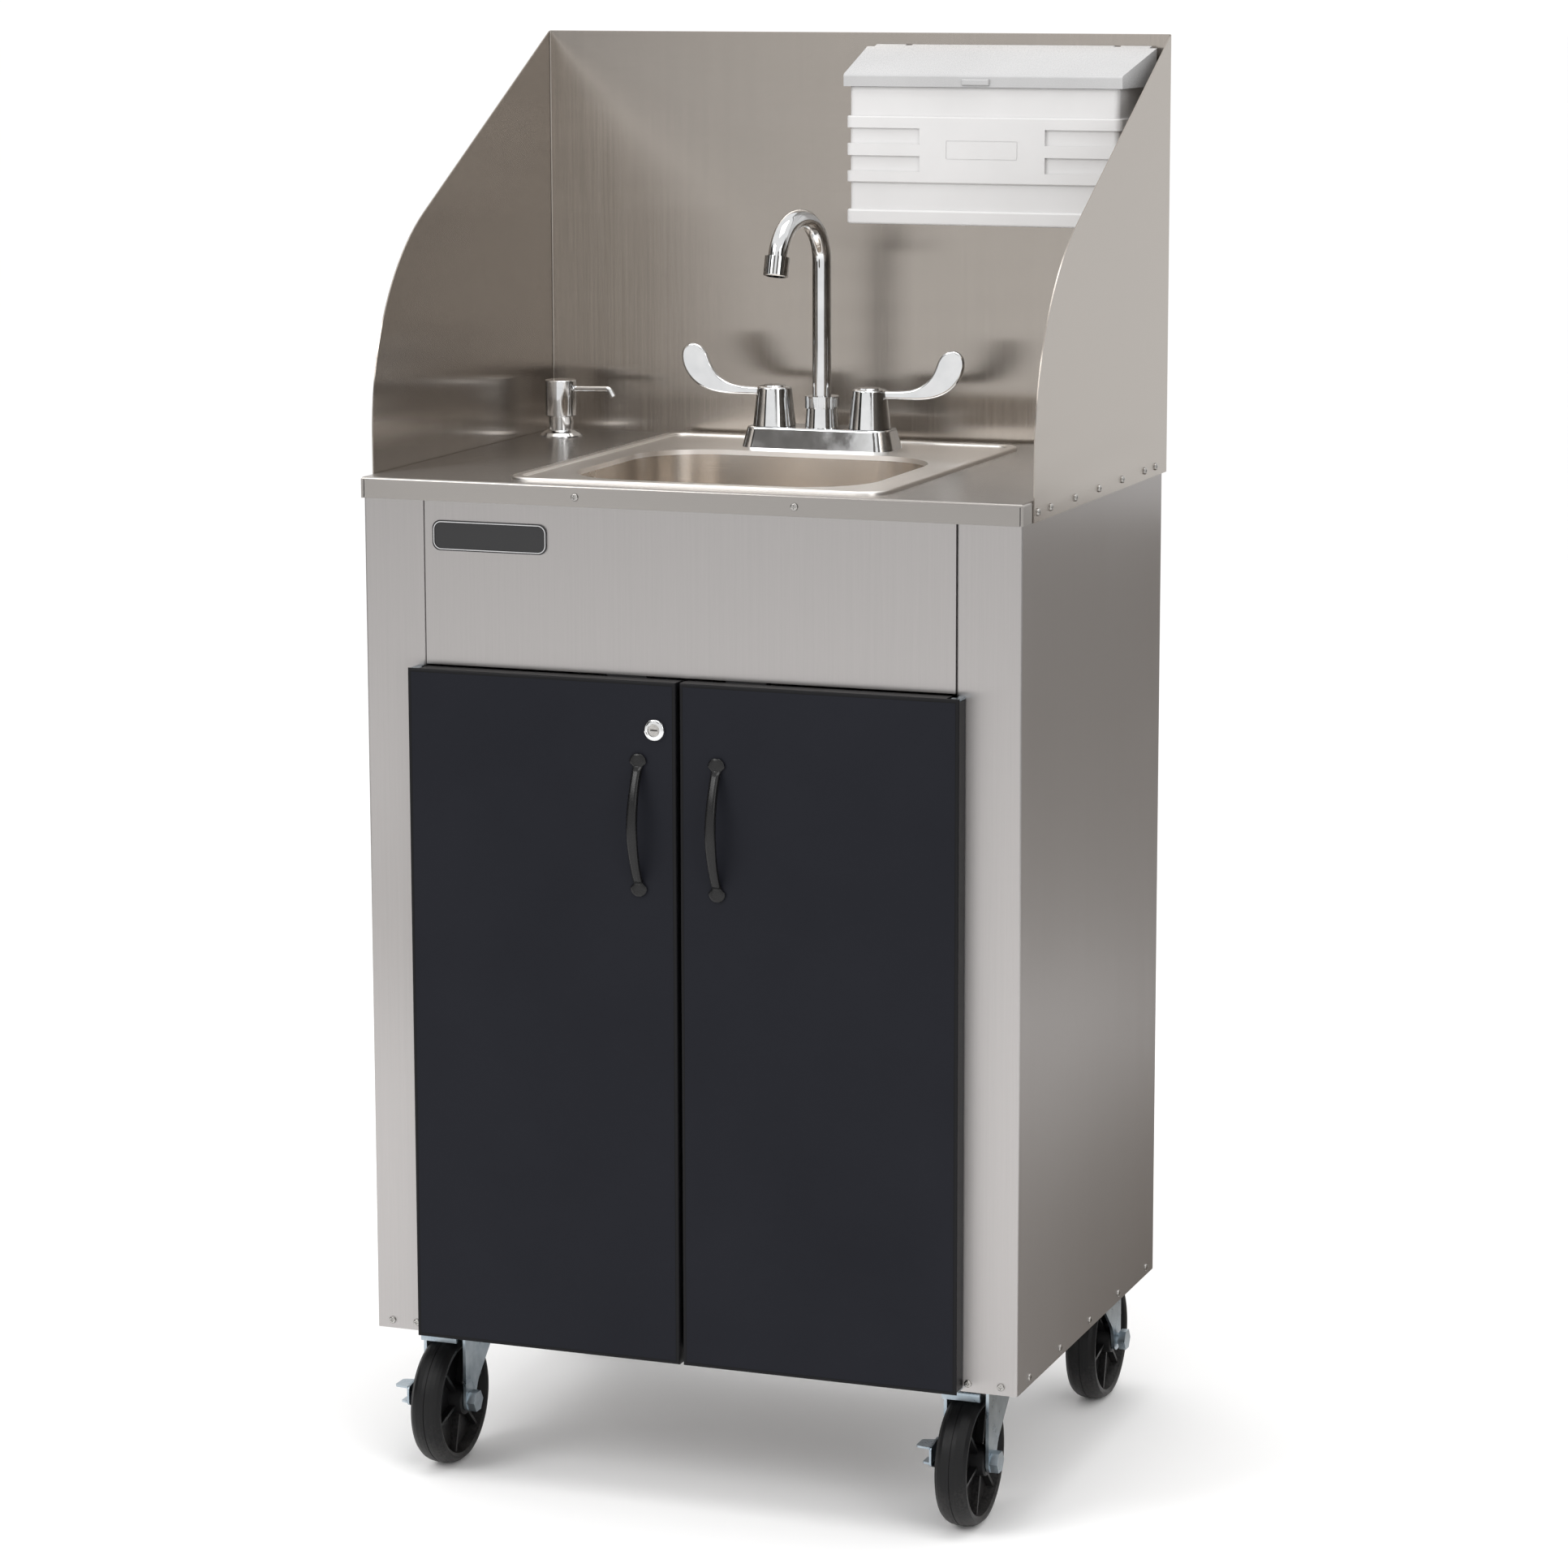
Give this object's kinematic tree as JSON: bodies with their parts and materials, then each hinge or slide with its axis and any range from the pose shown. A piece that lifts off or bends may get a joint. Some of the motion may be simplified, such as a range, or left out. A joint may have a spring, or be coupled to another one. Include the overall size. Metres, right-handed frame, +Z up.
{
  "type": "portable handwash sink",
  "caption": "Free-standing handwash sink on casters: steel cabinet with dark doors, drop-in basin, gooseneck faucet with wrist blades, soap pump, splash guard and towel dispenser.",
  "frame": {"origin": "on the floor, at the middle of the footprint", "axes": "+Z up, +X to the right seen from the front, +Y from the doors to the back"},
  "size_m": [0.67, 0.562, 1.395],
  "materials": {
    "cabinet_steel": "vertical brushed grain",
    "counter_steel": "brushed grain along the width",
    "guard_steel": "brushed, soft horizontal sheen",
    "basin_steel": "satin",
    "white_plastic": "moulded",
    "pipe_plastic": "smooth plastic pipe",
    "water_line": "braided line",
    "chrome": "polished",
    "brass": "machined",
    "clear_plastic": "translucent white",
    "dispenser_white": "white gloss",
    "dispenser_lid": "white gloss",
    "paper": "folded paper",
    "fresh_tank_plastic": "blow-moulded",
    "waste_tank_plastic": "blow-moulded",
    "black_plastic": "moulded",
    "heater_case": "white case",
    "switch_plastic": "moulded",
    "plate_metal": "satin",
    "zinc_steel": "bright zinc plate",
    "door_laminate": "charcoal laminate",
    "handle_black": "satin black",
    "wheel_rubber": "moulded rubber"
  },
  "bodies": {
    "cabinet": {"left_side_panel": "cabinet_steel", "right_side_panel": "cabinet_steel", "back_panel": "cabinet_steel", "base_pan": "cabinet_steel", "front_apron": "cabinet_steel", "countertop": "counter_steel", "splash_guard": "guard_steel", "sink_basin": "basin_steel", "drain_strainer": "basin_steel", "drain_tailpiece": "white_plastic", "waste_pipe": "pipe_plastic", "faucet_base": "chrome", "spout_nut": "chrome", "valve_bodies": "brass", "water_lines": "water_line", "soap_collar": "chrome", "soap_bottle": "clear_plastic", "towel_dispenser_body": "dispenser_white", "paper_towels": "paper", "fresh_water_tank": "fresh_tank_plastic", "waste_water_tank": "waste_tank_plastic", "tank_caps": "black_plastic", "water_pump": "black_plastic", "water_heater": "heater_case", "power_inlet": "black_plastic", "nameplate": "plate_metal", "door_hinge_brackets": "zinc_steel", "fasteners": "chrome", "caster_plates": "zinc_steel", "magnetic_catches": "black_plastic"},
    "left_door": {"left_door": "door_laminate", "left_door_handle": "handle_black", "lock_barrel": "chrome"},
    "right_door": {"right_door": "door_laminate", "right_door_handle": "handle_black"},
    "lock_plug": {"lock_plug": "chrome", "lock_cam": "zinc_steel"},
    "switch_rocker": {"switch_rocker": "switch_plastic"},
    "left_faucet_handle": {"left_faucet_handle": "chrome"},
    "right_faucet_handle": {"right_faucet_handle": "chrome"},
    "spout": {"spout": "chrome", "aerator": "chrome"},
    "soap_pump": {"soap_pump_head": "chrome", "soap_stem": "white_plastic"},
    "towel_lid": {"towel_lid": "dispenser_lid"},
    "front_left_caster": {"front_left_fork": "zinc_steel", "front_left_axle": "zinc_steel"},
    "front_left_wheel": {"front_left_wheel": "wheel_rubber"},
    "front_left_brake": {"front_left_brake": "zinc_steel"},
    "front_right_caster": {"front_right_fork": "zinc_steel", "front_right_axle": "zinc_steel"},
    "front_right_wheel": {"front_right_wheel": "wheel_rubber"},
    "front_right_brake": {"front_right_brake": "zinc_steel"},
    "back_left_caster": {"back_left_fork": "zinc_steel", "back_left_axle": "zinc_steel"},
    "back_left_wheel": {"back_left_wheel": "wheel_rubber"},
    "back_right_caster": {"back_right_fork": "zinc_steel", "back_right_axle": "zinc_steel"},
    "back_right_wheel": {"back_right_wheel": "wheel_rubber"}
  },
  "joints": [
    {"name": "left_door_hinge", "type": "hinge", "parent": "cabinet", "child": "left_door", "pos_m": [-0.2715, -0.2495, 0.474], "axis": [0, 0, -1], "range_deg": [0, 110]},
    {"name": "right_door_hinge", "type": "hinge", "parent": "cabinet", "child": "right_door", "pos_m": [0.2715, -0.2495, 0.474], "axis": [0, 0, 1], "range_deg": [0, 110]},
    {"name": "lock_turn", "type": "hinge", "parent": "left_door", "child": "lock_plug", "pos_m": [-0.0228, -0.2495, 0.759], "axis": [0, -1, 0], "range_deg": [0, 90]},
    {"name": "switch_rock", "type": "hinge", "parent": "cabinet", "child": "switch_rocker", "pos_m": [-0.208, 0.2153, 0.56], "axis": [1, 0, 0], "range_deg": [-16, 0]},
    {"name": "left_faucet_handle_turn", "type": "hinge", "parent": "cabinet", "child": "left_faucet_handle", "pos_m": [-0.0508, 0.1345, 1.02], "axis": [0, 0, 1], "range_deg": [0, 90]},
    {"name": "right_faucet_handle_turn", "type": "hinge", "parent": "cabinet", "child": "right_faucet_handle", "pos_m": [0.0508, 0.1345, 1.02], "axis": [0, 0, -1], "range_deg": [0, 90]},
    {"name": "spout_swivel", "type": "hinge", "parent": "cabinet", "child": "spout", "pos_m": [0, 0.1345, 1.025], "axis": [0, 0, 1], "range_deg": [-50, 42]},
    {"name": "soap_press", "type": "slide", "parent": "cabinet", "child": "soap_pump", "axis": [0, 0, -1], "range_m": [0, 0.012], "stiffness_N_per_m": 300, "springref_m": -0.025},
    {"name": "towel_lid_hinge", "type": "hinge", "parent": "cabinet", "child": "towel_lid", "pos_m": [0.172, 0.2185, 1.38], "axis": [-1, 0, 0], "range_deg": [0, 85]},
    {"name": "front_left_swivel", "type": "hinge", "parent": "cabinet", "child": "front_left_caster", "pos_m": [-0.271, -0.1625, 0.142], "axis": [0, 0, 1], "continuous": true},
    {"name": "front_left_roll", "type": "hinge", "parent": "front_left_caster", "child": "front_left_wheel", "pos_m": [-0.271, -0.1995, 0.0635], "axis": [1, 0, 0], "continuous": true},
    {"name": "front_left_brake_press", "type": "hinge", "parent": "front_left_caster", "child": "front_left_brake", "pos_m": [-0.271, -0.1995, 0.0635], "axis": [1, 0, 0], "range_deg": [0, 20]},
    {"name": "front_right_swivel", "type": "hinge", "parent": "cabinet", "child": "front_right_caster", "pos_m": [0.271, -0.1625, 0.142], "axis": [0, 0, 1], "continuous": true},
    {"name": "front_right_roll", "type": "hinge", "parent": "front_right_caster", "child": "front_right_wheel", "pos_m": [0.271, -0.1995, 0.0635], "axis": [1, 0, 0], "continuous": true},
    {"name": "front_right_brake_press", "type": "hinge", "parent": "front_right_caster", "child": "front_right_brake", "pos_m": [0.271, -0.1995, 0.0635], "axis": [1, 0, 0], "range_deg": [0, 20]},
    {"name": "back_left_swivel", "type": "hinge", "parent": "cabinet", "child": "back_left_caster", "pos_m": [-0.271, 0.1805, 0.142], "axis": [0, 0, 1], "continuous": true},
    {"name": "back_left_roll", "type": "hinge", "parent": "back_left_caster", "child": "back_left_wheel", "pos_m": [-0.271, 0.2175, 0.0635], "axis": [1, 0, 0], "continuous": true},
    {"name": "back_right_swivel", "type": "hinge", "parent": "cabinet", "child": "back_right_caster", "pos_m": [0.271, 0.1805, 0.142], "axis": [0, 0, 1], "continuous": true},
    {"name": "back_right_roll", "type": "hinge", "parent": "back_right_caster", "child": "back_right_wheel", "pos_m": [0.271, 0.2175, 0.0635], "axis": [1, 0, 0], "continuous": true}
  ]
}
